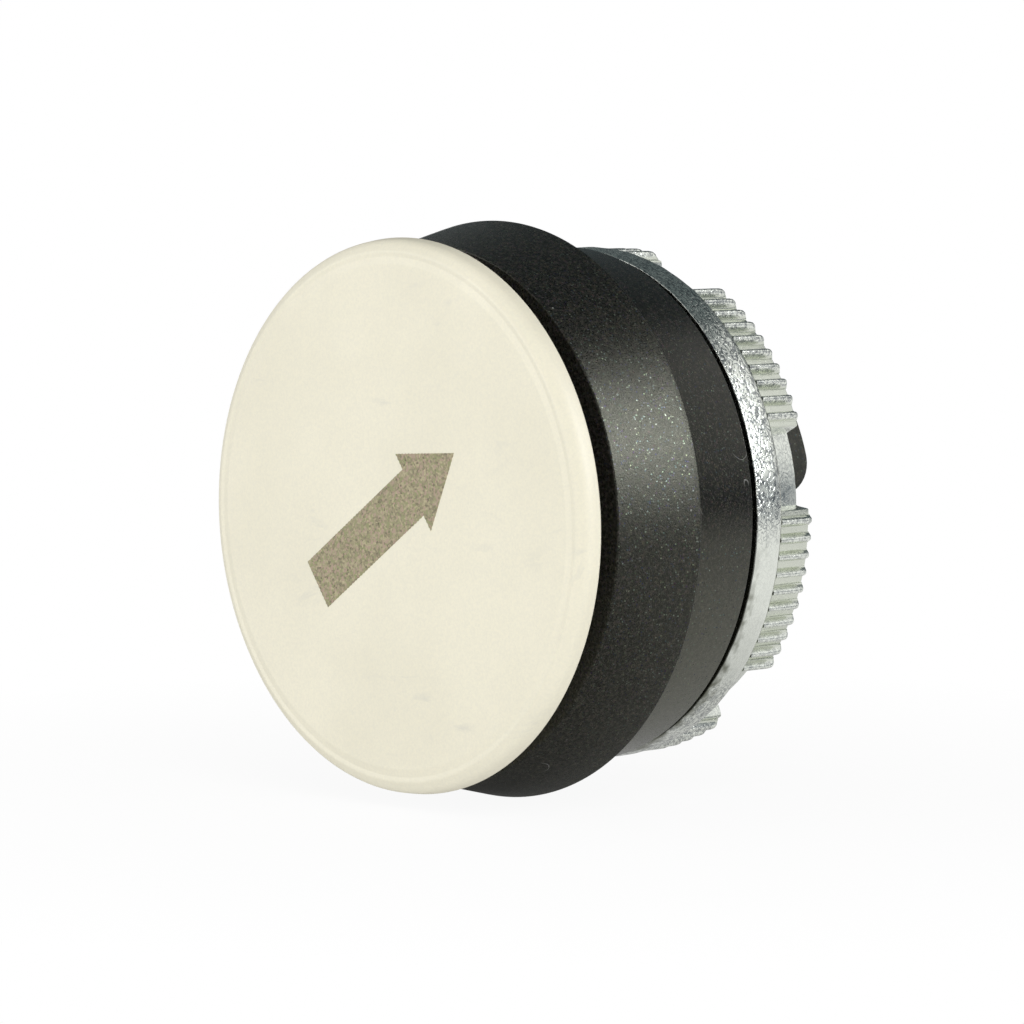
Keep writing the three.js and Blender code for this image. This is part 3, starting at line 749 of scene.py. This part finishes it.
# The guide. A black nylon cup with a tube that the plunger runs in. Its rim holds the boot's lip in the
# housing, and its tube goes through the sleeve to the coupling ring.
tube_radius = 8.9 * MM
pocket_radius = 7.8 * MM
stem_hole = stem_radius + clearance
cup_outer = bead_bore - clearance
cup_wall = 0.8 * MM
cup_inner = cup_outer - cup_wall
_, seat_front, pocket_rear = reach("spring_seat")
pocket_depth = 5.6 * MM
guide_floor = pocket_rear - pocket_depth
seal_groove_front = o_ring_front - groove_play
seal_groove_rear = o_ring_rear + groove_play
seal_groove = tube_radius - ring_groove
guide_cup = turned(rounded([
    (cup_inner, guide_front, soft_edge), (guide_rim, guide_front, soft_edge),
    (guide_rim, lip_front, soft_edge), (cup_outer, lip_front), (cup_outer, flange_front),
    (tube_radius, flange_front),
    (tube_radius, seal_groove_front), (seal_groove, seal_groove_front), (seal_groove, seal_groove_rear),
    (tube_radius, seal_groove_rear), (tube_radius, guide_rear), (stem_hole, guide_rear, soft_edge),
    (stem_hole, pocket_rear), (pocket_radius, pocket_rear), (pocket_radius, guide_floor, 0.2 * MM),
    (cup_inner, guide_floor, 0.2 * MM)]))
piece("guide_cup", guide_cup, nylon, "root", "nylon", "plunger_guide")


# The return spring. Drawn steel wire wound in six curls between the plunger's disc and a steel seat in
# the guide's pocket; it shortens as the cap is pressed.
def node_tree(name, **kinds):
    """An empty tree of geometry nodes with a geometry and these named inputs, and its group input"""
    tree = bpy.data.node_groups.new(name, "GeometryNodeTree")
    tree.interface.new_socket("Geometry", in_out="INPUT", socket_type="NodeSocketGeometry")
    tree.interface.new_socket("Geometry", in_out="OUTPUT", socket_type="NodeSocketGeometry")
    for label, kind in kinds.items():
        tree.interface.new_socket(label.replace("_", " "), in_out="INPUT", socket_type=f"NodeSocket{kind}")
    return tree, Socket(tree).node("NodeGroupInput")


def end_tree(shape, material):
    """Ends a tree: its instances are made real and take their material"""
    real = shape.node("GeometryNodeRealizeInstances", {}, {"Geometry": shape})
    dressed = shape.node("GeometryNodeSetMaterial", {}, {"Geometry": real, "Material": material})
    shape.node("NodeGroupOutput", {}, {"Geometry": dressed})


def grown(tree, base=None, **values):
    """The plain mesh that a tree makes from a base mesh and from values for its named inputs"""
    mesh = bpy.data.meshes.new(tree.name)
    if base:
        base.to_mesh(mesh)
        base.free()
    holder = bpy.data.objects.new(tree.name, mesh)
    bpy.context.scene.collection.objects.link(holder)
    modifier = holder.modifiers.new(tree.name, "NODES")
    modifier.node_group = tree
    for item in tree.interface.items_tree:
        if item.in_out == "INPUT" and item.name.replace(" ", "_") in values:
            modifier[item.identifier] = values[item.name.replace(" ", "_")]
    shaped = holder.evaluated_get(bpy.context.evaluated_depsgraph_get())
    made = bpy.data.meshes.new_from_object(shaped)
    bpy.data.objects.remove(holder)
    return made


spring_steel = plated("spring_steel", (0.55, 0.56, 0.57, 1.0), (0.38, 0.39, 0.40, 1.0), (0.25, 0.38))
spring_outer, spring_front, spring_rear = reach("return_spring")
wire = 0.35 * MM
spring_start = disc_rear + wire + clearance
spring_end = seat_front - wire - clearance
tree, given = node_tree("wound_spring", Curls="Float", Radius="Float", Length="Float", Wire="Float",
                        Material="Material")
spiral = given.node("GeometryNodeCurveSpiral", {}, {
    "Resolution": 48, "Rotations": given.also("Curls"), "Start Radius": given.also("Radius"),
    "End Radius": given.also("Radius"), "Height": given.also("Length")})
section = given.node("GeometryNodeCurvePrimitiveCircle", {}, {"Resolution": 16, "Radius": given.also("Wire")})
tube = given.node("GeometryNodeCurveToMesh", {}, {
    "Curve": spiral, "Profile Curve": section, "Fill Caps": True})
laid = given.node("GeometryNodeTransform", {}, {
    "Geometry": tube, "Translation": (0, spring_start, 0), "Rotation": (-math.pi / 2, 0, 0)})
end_tree(laid, given.also("Material"))
coils = grown(tree, Curls=6.0, Radius=spring_outer - wire, Length=spring_end - spring_start, Wire=wire,
              Material=spring_steel)
spring = piece("spring_coils", coils, spring_steel, "root", "spring_steel", "return_spring")
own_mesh(spring)
piece("seat_ring", flat_ring("spring_seat", stem_hole, fine_edge), steel, "root", "steel", "spring_seat")


# The threaded sleeve. A zinc die casting, bright with a wrinkled crystalline skin: a flange inside the
# housing, a coarse rounded thread for the nut, and a keyway along its top.
nut_radius, nut_front, nut_rear = reach("ring_nut")
flange_depth = 1.9 * MM
flange_rear = nut_front + flange_depth
seam_station = flange_rear - 0.06 * MM
seam_half = 0.05 * MM
rim_radius = nut_radius - 0.55 * MM
crest_reach = (rim_radius + 0.08 * MM, rim_radius + 0.22 * MM)
wrinkle_grain = 0.20 * MM
wrinkle_width = 0.14
swell_grain = 0.45 * MM
upper_reach = (0.5, 2.5)
lower_reach = (10.5, 12.5)
front_patch_reach = (0.4 * MM, 1.4 * MM)
seam_and_patch_grey = (0.25, 0.26, 0.21, 1.0)
valley_grey = (0.75, 0.78, 0.69, 1.0)
zinc_bright = (0.93, 0.96, 0.885, 1.0)
zinc_dark = (0.24, 0.26, 0.27, 1.0)


def casting(name, bright, dark):
    """Bright zinc casting with soft swells, and fine dark wrinkles on its upper half and its lower end

    The nut's ridges are rubbed bright along their crests and dull between them, a dark seam runs along its
    flange's rear edge, and the lower half of the flange is darker grey in patches near its front edge.
    """
    made, start, where = surface(name)
    lines = noise(where, wrinkle_grain, 0.0, 0.5, 0.5, (0.75, 1.0, 0.75))
    swells = noise(where, swell_grain, 1.0, 0.5, 0.0, (0.7, 1.0, 0.7))
    patches = noise(where, 1.8 * MM, 3.0, 0.55)
    place = start.node("ShaderNodeSeparateXYZ", {}, {"Vector": where}, 2)
    upper = (place / MM + patches * 4.0).span(*upper_reach, 0.12, 1.0)
    lower = (patches * 4.0 - place / MM).span(*lower_reach, 0.0, 0.7)
    across = start.node("ShaderNodeCombineXYZ", {}, {"X": place.also(0), "Y": place})
    radius = start.node("ShaderNodeVectorMath", {"operation": "LENGTH"}, {0: across}, "Value")
    rim = (place.also(1) > flange_rear) * (radius > rim_radius - 0.15 * MM)
    crests = rim * radius.span(*crest_reach)
    seam = (radius > rim_radius + 0.3 * MM) * (abs(place.also(1) - seam_station) < seam_half)
    flange = place.also(1).span(flange_rear, flange_rear + 0.1 * MM, 1.0, 0.4)
    wrinkled = (upper + lower) * flange + crests * 0.45
    wrinkles = 1.0 - wrinkled * abs(lines - 0.5).span(0.0, wrinkle_width, 1.0, 0.0)
    pits = specks(where, 0.35 * MM, 0.06 * MM, 0.12)
    colour = (pits * wrinkled * 0.8).mix(wrinkles.mix(dark, bright), dark)
    colour = (seam * 0.8).mix((rim - crests).mix(colour, valley_grey), seam_and_patch_grey)
    # Darker grey patches near the flange's front edge, on its lower half only.
    edge = place.also(1).span(*front_patch_reach, 0.6, 0.0)
    front_patches = (edge + patches + swells).span(1.3, 1.75) * place.span(-1 * MM, -5 * MM)
    colour = front_patches.mix(colour, seam_and_patch_grey)
    finish(start, colour, wrinkles * 0.5 + swells * 0.5, 0.017 * MM, Metallic=1.0,
           Roughness=(patches * 0.6 + swells * 0.4).span(0.35, 0.65, 0.20, 0.32))
    return made


zinc = casting("zinc_casting", zinc_bright, zinc_dark)
thread_pitch = 2.0 * MM
thread_crest = sleeve_hole - clearance
thread_depth = 0.7 * MM
thread_root = thread_crest - thread_depth
crest_half = 0.25 * MM
base_half = 0.60 * MM
thread_start = 0.1 * MM
thread_turns = (sleeve_rear - thread_start - base_half) / thread_pitch
sleeve_bore = tube_radius + clearance
keyway_half = 1.2 * MM
keyway_depth = 0.35 * MM
keyway_floor = thread_root - keyway_depth
rows_front = -0.7 * MM
row_steps = 70
thread_rows = [sleeve_rear - (sleeve_rear - rows_front) * k / row_steps for k in range(row_steps + 1)]


def swell(angle, station, spread, first, last):
    """Height, from 0 to 1, of a helical thread at an angle and station, wider by a spread on each side"""
    turn = (-angle % math.tau) / math.tau
    lead = (station - thread_start) / thread_pitch
    number = round(lead - turn)
    side = abs(lead - turn - number) * thread_pitch
    inside = min(max((base_half + spread - side) / (base_half - crest_half), 0), 1)
    from_ends = min(turn + number - first, last - turn - number) * 8
    return inside * min(max(from_ends + 0.5, 0), 1)


def sleeve_section(angle):
    """The sleeve's section: the thread swells out of it, and the keyway cuts it at the top"""
    in_key = math.sin(angle) > 0 and abs(math.cos(angle)) * thread_crest < keyway_half
    outside = []
    for station in reversed(thread_rows):
        radius = thread_root + (thread_crest - thread_root) * swell(angle, station, 0, 0, thread_turns)
        if in_key:
            radius = min(radius, keyway_floor / math.sin(angle))
        outside.append((radius, station))
    return [(sleeve_bore, flange_front), (sleeve_flange, flange_front), (sleeve_flange, seal_front),
            (outside[0][0], seal_front)] + outside + [(sleeve_bore, sleeve_rear)]


def top_edges(half_width, radius):
    """Angles just inside and just outside both edges of a keyway or tab at the top, at this radius"""
    edge = math.acos(half_width / radius)
    return [math.pi / 2 + side * (math.pi / 2 - edge + nudge)
            for side in (-1, 1) for nudge in (-0.004, 0.004)]


sleeve_angles = sorted(evenly(240) + top_edges(keyway_half, thread_crest))
piece("threaded_barrel", turned(sleeve_section, sleeve_angles), zinc, "root", "zinc", "threaded_sleeve")


# The key washer. A flat ring stamped from zinc-plated steel, between the panel and the nut. Its tab in
# the sleeve's keyway stops it from turning with the nut.
washer_radius, washer_front, washer_rear = reach("key_washer")
tab_half = keyway_half - clearance


def washer_section(angle):
    """The washer's section: flat, with a bore that comes in at the top to leave the tab"""
    in_tab = math.sin(angle) > 0 and abs(math.cos(angle)) * sleeve_hole < tab_half
    bore = (keyway_floor + clearance) / math.sin(angle) if in_tab else sleeve_hole
    return rounded([(bore, washer_front), (washer_radius, washer_front, fine_edge),
                    (washer_radius, washer_rear, fine_edge), (bore, washer_rear)], 3)


washer_angles = sorted(evenly(128) + top_edges(tab_half, sleeve_hole))
piece("tabbed_washer", turned(washer_section, washer_angles), steel, "washer", "steel", "key_washer")


# The ring nut. A bright zinc die casting: a flange that bears on the panel, and a hub whose rim is
# ridged for the fingers and cut by six slots for a spanner. A fine line marks where hub meets flange.
nut_flare = 0.07 * MM
ridge_tip = nut_radius - 0.1 * MM
ridge_height = 0.45 * MM
land = ridge_tip - ridge_height
slot_floor = 12.75 * MM
slots = 6
slot_width = math.radians(18.7)
slot_place = math.radians(10.8)
nut_bore = thread_root + clearance
nut_groove = thread_crest + clearance
recess_radius = washer_radius + clearance
nut_recess = washer_rear + clearance
wall_draft = 0.10 * MM
chamfer_width = 0.15 * MM
chamfer_depth = 0.10 * MM
line_width = 0.07 * MM
hub_draft = 0.04 * MM
bore_steps = 40
bore_rows = [nut_recess + (nut_rear - nut_recess) * k / bore_steps for k in range(bore_steps + 1)]


def slot_side(angle):
    """How far an angle lies outside the nearest slot, along the rim"""
    pitch = math.tau / slots
    return (abs((angle - slot_place + pitch / 2) % pitch - pitch / 2) - slot_width / 2) * land


def wobble(angle, seed):
    """The uneven edge of a casting, from -1 to 1"""
    return sum(math.sin(waves * angle + place * seed) for place, waves in ((1, 13), (2, 31), (3, 67))) / 3


def nut_section(angle):
    """The nut's section: bore with its thread, flange, and the rim or the floor of a slot"""
    share = min(max(slot_side(angle) / wall_draft / 2 + 0.5, 0), 1)
    rim = slot_floor + (land - slot_floor) * share * share * (3 - 2 * share)
    edge = 0.02 * MM * wobble(angle, 1)
    back = nut_rear - 0.02 * MM * (1 + wobble(angle, 2))
    bore = [(nut_bore + (nut_groove - nut_bore) * swell(angle, row, clearance, -1, 4), row)
            for row in bore_rows]
    return rounded([
        (recess_radius, nut_front), (nut_radius - nut_flare + edge, nut_front, 0.08 * MM),
        (nut_radius + edge, flange_rear - 0.50 * MM, 1.2 * MM),
        (nut_radius - 0.04 * MM + edge, flange_rear - 0.16 * MM),
        (nut_radius - 0.12 * MM + edge, flange_rear), (rim, flange_rear),
        (rim - hub_draft, back, 0.12 * MM), (bore[-1][0] + chamfer_width, back)], 4) + [
            (radius, min(row, back - chamfer_depth)) for radius, row in reversed(bore)] + [
                (recess_radius, nut_recess)]


slot_walls = []
for slot in range(slots):
    for side in (-1, 1):
        edge = slot_place + math.tau * slot / slots + side * slot_width / 2
        slot_walls += [edge + wall_draft * share / land for share in (-1.02, -0.7, -0.35, 0, 0.35, 0.7, 1.02)]
nut_angles = sorted({round(angle % math.tau, 5) for angle in evenly(300) + slot_walls})
nut_body = turned(nut_section, nut_angles)

ridge_half = 0.29 * MM
ridge_sink = 0.08 * MM
half_shares = [(0.0, 1.0), (0.23, 0.97), (0.46, 0.85), (0.65, 0.56), (0.78, 0.26), (0.90, 0.07), (1.0, 0.0)]
ridge_shares = [(-place, height) for place, height in reversed(half_shares[1:])] + half_shares
ridge_ends = [(0.0, 1.0), (0.62, 1.0), (0.80, 0.97), (0.90, 0.86), (0.96, 0.66), (1.0, 0.30)]


def one_ridge():
    """One ridge of the rim, on the right of the nut, rounded across and at its rear end"""
    mesh = bmesh.new()
    front, length = flange_rear + line_width, nut_rear - flange_rear - line_width - 0.08 * MM
    rows = []
    for along, height in ridge_ends:
        outline = [(land - ridge_sink, -ridge_half)]
        outline += [(land + ridge_height * share * height, ridge_half * place)
                    for place, share in ridge_shares]
        outline += [(land - ridge_sink, ridge_half)]
        rows.append([mesh.verts.new((x, front + length * along, z)) for x, z in outline])
    for one, other in zip(rows, rows[1:]):
        for k in range(len(one)):
            mesh.faces.new((one[k - 1], one[k], other[k], other[k - 1]))
    mesh.faces.new(rows[0])
    mesh.faces.new(rows[-1])
    bmesh.ops.recalc_face_normals(mesh, faces=mesh.faces)
    return mesh


tree, given = node_tree("ridged_rim", Ridges="Int", First="Float", Slots="Int", Slot_place="Float",
                        Slot_width="Float", Unevenness="Float", Seed="Int", Material="Material")
angle = given.also("First") + given.node("GeometryNodeInputIndex") / given.also("Ridges") * math.tau
slot_turn = (angle - given.also("Slot place")) * given.also("Slots") / math.tau + 0.5
off_slot = abs(slot_turn.sum("FRACT", slot_turn) - 0.5) * math.tau / given.also("Slots")
uneven = given.node("FunctionNodeRandomValue", {}, {
    2: given.also("Unevenness") * -1, 3: given.also("Unevenness"), "Seed": given.also("Seed")}, 1)
ridges = given.node("GeometryNodeInstanceOnPoints", {}, {
    "Points": given.node("GeometryNodePoints", {}, {"Count": given.also("Ridges")}),
    "Selection": off_slot > given.also("Slot width") / 2,
    "Instance": given,
    "Rotation": given.node("ShaderNodeCombineXYZ", {}, {"Y": angle * -1}),
    "Scale": given.node("ShaderNodeCombineXYZ", {}, {"X": uneven + 1, "Y": 1.0, "Z": 1.0})})
end_tree(ridges, given.also("Material"))
ridge_count = 90
ridge_first = math.radians(-1.3)
ridge_room = 2 * ridge_half / land
rim_ridges = grown(tree, one_ridge(), Ridges=ridge_count, First=ridge_first, Slots=slots,
                   Slot_place=slot_place, Slot_width=slot_width + ridge_room * 0.6, Unevenness=0.0022, Seed=4,
                   Material=zinc)
nut_body.from_mesh(rim_ridges)
piece("nut_casting", nut_body, zinc, "nut", "zinc", "ring_nut")


# The coupling ring. Black nylon behind the sleeve, with three rounded tongues that contact blocks hook
# on to; two small screws hold it to the guide.
coupling_nylon = black_moulding("coupling_nylon", rubber_dark, rubber_pale, (0.40, 0.55), 0.010 * MM)
ring_radius, ring_front, tongue_rear = reach("coupling_ring")
ring_wall = 1.0 * MM
ring_disc = ring_front + ring_wall
ring_inner = ring_radius - ring_wall
ring_hole = clip_radius + clearance
tongues = 3
tongue_place = math.radians(28.9)
tongue_half = ring_radius * math.sin(math.radians(24.2))
tongue_corner = 1.9 * MM


def tongue_top(angle):
    """Rear station of the ring's rim: the rounded top of a tongue, or the ring's own face"""
    pitch = math.tau / tongues
    off = (angle - tongue_place + pitch / 2) % pitch - pitch / 2
    across = abs(ring_radius * math.sin(off))
    if across >= tongue_half:
        return ring_disc
    beyond = max(across - tongue_half + tongue_corner, 0)
    return tongue_rear - tongue_corner + math.sqrt(tongue_corner ** 2 - beyond ** 2)


def coupling_section(angle):
    """The ring's section: its disc, and a wall that rises to the tongues and is rounded at the top"""
    top = tongue_top(angle)
    lift = min(top - ring_disc, soft_edge)
    return [(ring_hole, ring_front), (ring_radius, ring_front), (ring_radius, top - lift),
            (ring_radius - lift * 0.3, top - lift * 0.3), (ring_radius - lift, top),
            (ring_inner + lift, top), (ring_inner + lift * 0.3, top - lift * 0.3),
            (ring_inner, top - lift), (ring_inner, ring_disc), (ring_hole, ring_disc)]


tongue_walls = []
for tongue in range(tongues):
    for side in (-1, 1):
        edge = tongue_place + math.tau * tongue / tongues + side * math.asin(tongue_half / ring_radius)
        tongue_walls += [edge + nudge * side for nudge in (-0.03, -0.015, -0.006, -0.0005, 0.0005)]
ring_angles = sorted({angle % math.tau for angle in evenly(240) + tongue_walls})
piece("tongued_ring", turned(coupling_section, ring_angles), coupling_nylon, "root", "nylon", "coupling_ring")

low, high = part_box("coupling_screw_2")
small_screw_x = (low.x + high.x) / 2
small_head = (high.x - low.x) / 2
small_shank = 0.75 * MM
slot_wide = 0.4 * MM
slot_deep = 0.32 * MM
small_screw = turned(rounded([
    (0, low.y), (small_shank, low.y, 0.15 * MM), (small_shank, ring_disc), (small_head, ring_disc),
    (small_head, high.y, 0.35 * MM), (0, high.y)], 6), evenly(48))
tree, given = node_tree("slotted_screws", Place="Float", Turn="Float", Slot="Vector", Slot_at="Vector",
                        Material="Material")
blade = given.node("GeometryNodeTransform", {}, {
    "Geometry": given.node("GeometryNodeMeshCube", {}, {"Size": given.also("Slot")}),
    "Translation": given.also("Slot at")})
slotted = given.node("GeometryNodeMeshBoolean", {"operation": "DIFFERENCE", "solver": "EXACT"},
                     {"Mesh 1": given, "Mesh 2": blade})
side = given.node("GeometryNodeInputIndex") * 2 - 1
screws = given.node("GeometryNodeInstanceOnPoints", {}, {
    "Points": given.node("GeometryNodePoints", {}, {
        "Count": 2, "Position": given.node("ShaderNodeCombineXYZ", {}, {"X": side * given.also("Place")})}),
    "Instance": slotted,
    "Rotation": given.node("ShaderNodeCombineXYZ", {}, {"Y": side * given.also("Turn")})})
end_tree(screws, given.also("Material"))
screw_pair = grown(tree, small_screw, Place=small_screw_x, Turn=0.6,
                   Slot=(3 * small_head, 2 * slot_deep, slot_wide), Slot_at=(0, high.y, 0), Material=steel)
piece("slotted_screws", screw_pair, steel, "root", "steel", "coupling_screw_1", "coupling_screw_2")
